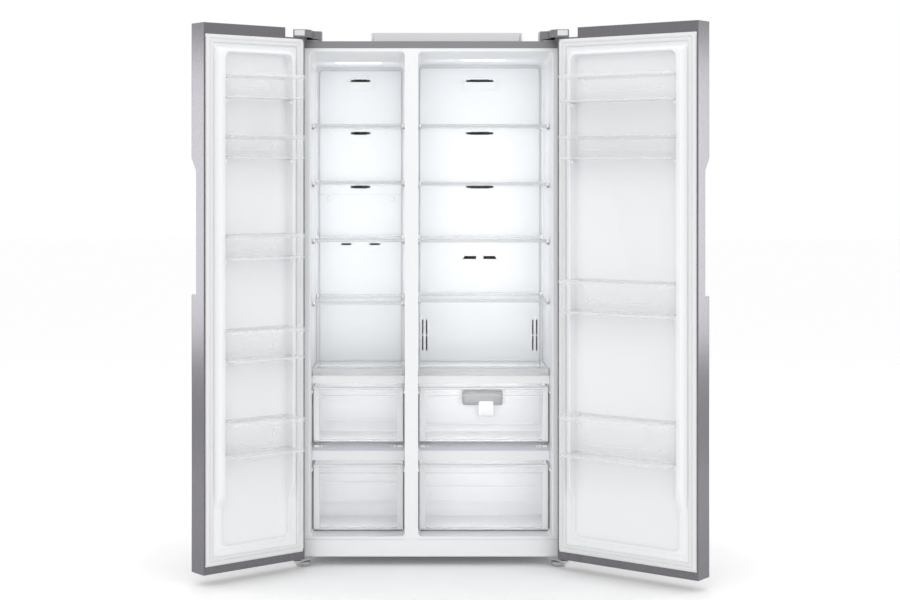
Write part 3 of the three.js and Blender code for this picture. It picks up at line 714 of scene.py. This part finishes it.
def build_bin(name, index, z, tall):
    """A clear bin: round front corners, a thick rim and floor, and ends that flare out in front
    of the door's dyke."""
    width = DOORS[name]["width"]
    u0, u1 = BIN_END, width - BIN_END
    flare_from, flare_to = 31, 39
    top = z + tall
    node = f"{name}_bin_{index}"

    def level_ring(inset, height):
        points = []
        for u, b in ring(u0 + inset, u1 - inset, -8 + inset, 104 - inset, 3, 26 - inset,
                         marks=(flare_from, flare_to)):
            share = (b - flare_from) / (flare_to - flare_from)
            spread = BIN_FLARE * min(1, max(0, share))
            points.append((u + math.copysign(spread, u - width / 2), b))
        return [(door_x(name, u), b - GASKET_GAP, height) for u, b in points]

    tray = [
        level_ring(9, z),
        level_ring(3.5, z + 1),
        level_ring(1.2, z + 4.5),
        level_ring(0.8, z + 0.35 * tall),
        level_ring(0, z + 0.35 * tall + 3),
        level_ring(0, top - 1),
    ]
    put(f"{node}_tray", loft(tray, last=False), CLEAR, node, door=name,
        stands_for=node)
    rim = [
        level_ring(-0.6, top - 11),
        level_ring(-2.2, top - 9.5),
        level_ring(-2.4, top + 0.2),
        level_ring(-1.6, top + 1.2),
        level_ring(2.0, top + 1.2),
        level_ring(2.8, top + 0.2),
        level_ring(2.8, top - 3),
    ]
    put(f"{node}_rim", loft(rim, first=False, last=False), RIM, node, door=name)
    build_bin_step(name, node, z, tall)
    floor = [
        level_ring(8, z + 1.6),
        level_ring(5, z + 2.4),
        level_ring(5, z + 4),
        level_ring(8, z + 4.8),
    ]
    put(f"{node}_floor", loft(floor), RIBBED, node, door=name)
    hem = [
        level_ring(3.4, z + 0.4),
        level_ring(0.4, z + 1.4),
        level_ring(-0.4, z + 5),
        level_ring(0.4, z + 7.5),
    ]
    put(f"{node}_hem", loft(hem, first=False, last=False), RIM, node, door=name)


for door_name, door in DOORS.items():
    build_door_liner(door_name)
    build_seal(door_name)
    for index, (height, tall) in enumerate(door["bins"]):
        build_bin(door_name, index + 1, height, tall)


# ---------------------------------------------------------------- feet and hinge cover caps
for where, way in (("left", -1), ("right", 1)):
    centre = (way * (CASE_HALF - 29), 12, 0)
    profile = [
        (19, 0), (21, 0.6), (24.4, 4.6), (25, 6), (25, 13), (24.4, 14.8), (22.8, 16), (12, 16.4),
        (10.5, 18), (10, 19.5), (5, 20), (5, 31),
    ]
    put(f"foot_{where}_pad", disc_profile(centre, "z", profile), ZINC,
        f"foot_{where}", angle=50, stands_for=f"foot_{where}")
    grip = []
    for i in range(16):
        angle = 2 * math.pi * i / 16
        x, y = centre[0] + 24.6 * math.cos(angle), centre[1] + 24.6 * math.sin(angle)
        grip.append(((x - 1.3, x + 1.3), (y - 1.3, y + 1.3), (6.5, 12.5)))
    put(f"foot_{where}_grip", boxes(grip), ZINC, f"foot_{where}", bevel=0.5)

for where, way in (("left", 1), ("right", -1)):
    us = [way * (u - CASE_HALF) for u in (6, 40)]
    cap = boxes([(us, (-79, -77.6), (1764, 1782))])
    put(f"hinge_badge_{where}", cap, SILVER, "cabinet", bevel=0.5)
    lid = boxes([(us, (-74, 50), (1783.6, 1785.2))])
    put(f"hinge_lid_{where}", lid, SILVER, "cabinet", bevel=0.6)

# ---------------------------------------------------------------- floor, light and camera
bpy.ops.mesh.primitive_plane_add(size=60, location=(0, 0, 0))
floor = bpy.context.object
floor.name = "floor"
floor.data.materials.append(
    material("pale_floor", (0.93, 0.93, 0.93), 0.6, tone=0.01, grain=(8, (1, 1, 1)), bump=0.01,
             glow=0.05))


def lamp(name, place, target, size, power):
    """An area light that the camera doesn't see."""
    data = bpy.data.lights.new(name, "AREA")
    data.shape = "RECTANGLE"
    data.size, data.size_y = size
    data.energy = power
    made = bpy.data.objects.new(name, data)
    made.location = place
    made.visible_camera = False
    made.rotation_euler = (Vector(target) - Vector(place)).to_track_quat("-Z", "Y").to_euler()
    bpy.context.scene.collection.objects.link(made)


lamp("key", (-1.2, -4.2, 4.2), (0, 0.2, 0.9), (2.0, 1.6), 12)
lamp("fill", (2.6, -4.6, 2.0), (0, 0.2, 0.9), (3.0, 3.0), 9)
lamp("top", (0, -0.4, 4.4), (0, 0.1, 0), (4.0, 3.0), 21)
lamp("back", (0, 4.6, 3.0), (0, 0.3, 1.0), (4.0, 2.5), 30)


def light_room(name, power):
    """A panel just behind the shelves' front trims and one behind each drawer front, all facing
    the back."""
    room = ROOMS[name]
    middle = ORIGIN.x + (room["x0"] + room["x1"]) / 2 * MM
    breadth = (room["x1"] - room["x0"]) * MM * 0.8
    y_panel, y_target = ORIGIN.y + 0.13, ORIGIN.y + 0.4
    lamp(f"{name}_room_light", (middle, y_panel, 1.19), (middle, y_target, 1.19),
         (breadth, 1.0), power)
    for level, (low, high, _) in DRAWERS.items():
        tall = (high - low) * MM * 0.75
        height = (high + low) / 2 * MM
        watts_per_area = {"upper": 8.5, "lower": 6.0}[level]
        lamp(f"{name}_{level}_light", (middle, y_panel, height), (middle, y_target, height),
             (breadth, tall), watts_per_area * breadth * tall)


light_room("freezer", 0.84)
light_room("fridge", 1.02)
for side in (-1, 1):
    # These two light the narrow steel edges of the open doors.
    lamp(f"edge_light_{side + 1}", (side * 3.3, 0.45, 1.2), (side * 0.75, -0.4, 1.2), (0.7, 1.4),
         12.5)

world = bpy.data.worlds.new("studio")
world.use_nodes = True
world.node_tree.nodes["Background"].inputs["Color"].default_value = (1, 1, 1, 1)
world.node_tree.nodes["Background"].inputs["Strength"].default_value = 1.0
bpy.context.scene.world = world
bpy.context.scene.view_settings.view_transform = "Standard"

camera_data = bpy.data.cameras.new("camera")
camera_data.lens = 69.3
camera_data.sensor_width = 36
camera_data.shift_x = 0.0522
camera_data.shift_y = -0.138
camera = bpy.data.objects.new("camera", camera_data)
camera.location = ORIGIN + Vector((-92.5, -5780, 1302)) * MM
camera.rotation_euler = (math.radians(90), 0, 0)
bpy.context.scene.collection.objects.link(camera)
bpy.context.scene.camera = camera
